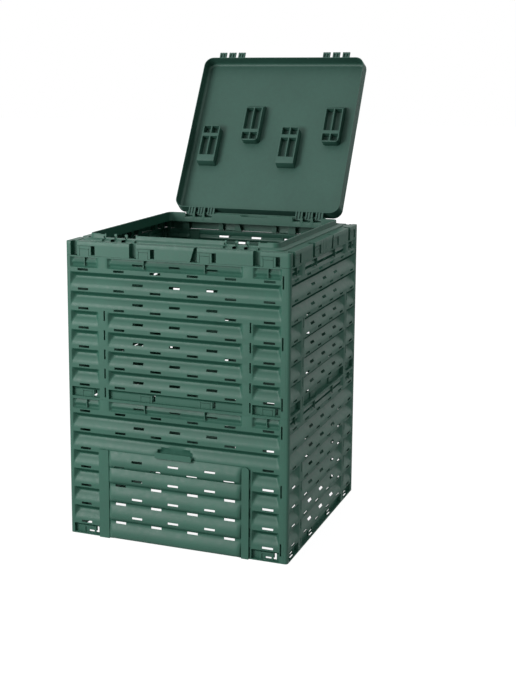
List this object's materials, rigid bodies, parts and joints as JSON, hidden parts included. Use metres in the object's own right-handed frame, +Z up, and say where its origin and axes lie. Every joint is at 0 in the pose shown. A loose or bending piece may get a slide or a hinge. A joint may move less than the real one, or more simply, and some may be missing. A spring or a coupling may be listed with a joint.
{
  "type": "compost bin",
  "caption": "Square garden compost bin of slotted, corrugated moulded panels under a stepped rim, with a hinged tray-shaped lid and a sliding hatch at the foot of its front.",
  "frame": {"origin": "on the ground, at the centre of the body's square footprint", "axes": "+Z up, the front with the door faces -Y, +X to the right seen from the front"},
  "size_m": [0.8026, 1.1738, 1.6819],
  "materials": {
    "panel_green": "satin dark green recycled plastic",
    "rim_green": "satin dark green recycled plastic",
    "door_green": "satin dark green recycled plastic",
    "lid_green": "satin dark green recycled plastic"
  },
  "bodies": {
    "bin": {"lower_front_panel": "panel_green", "lower_right_panel": "panel_green", "lower_back_panel": "panel_green", "lower_left_panel": "panel_green", "upper_front_panel": "panel_green", "upper_right_panel": "panel_green", "upper_back_panel": "panel_green", "upper_left_panel": "panel_green", "rim_front_half": "rim_green", "rim_back_half": "rim_green"},
    "lid": {"lid": "lid_green", "lid_block_1": "lid_green", "lid_block_2": "lid_green", "lid_block_3": "lid_green", "lid_block_4": "lid_green"},
    "door": {"door": "door_green"}
  },
  "joints": [
    {"name": "lid_hinge", "type": "hinge", "parent": "bin", "child": "lid", "pos_m": [0, 0.3631, 1.0494], "axis": [1, 0, 0], "range_deg": [0, 120.13]},
    {"name": "door_slide", "type": "slide", "parent": "bin", "child": "door", "axis": [0, 0, 1], "range_m": [0, 0.29]}
  ]
}
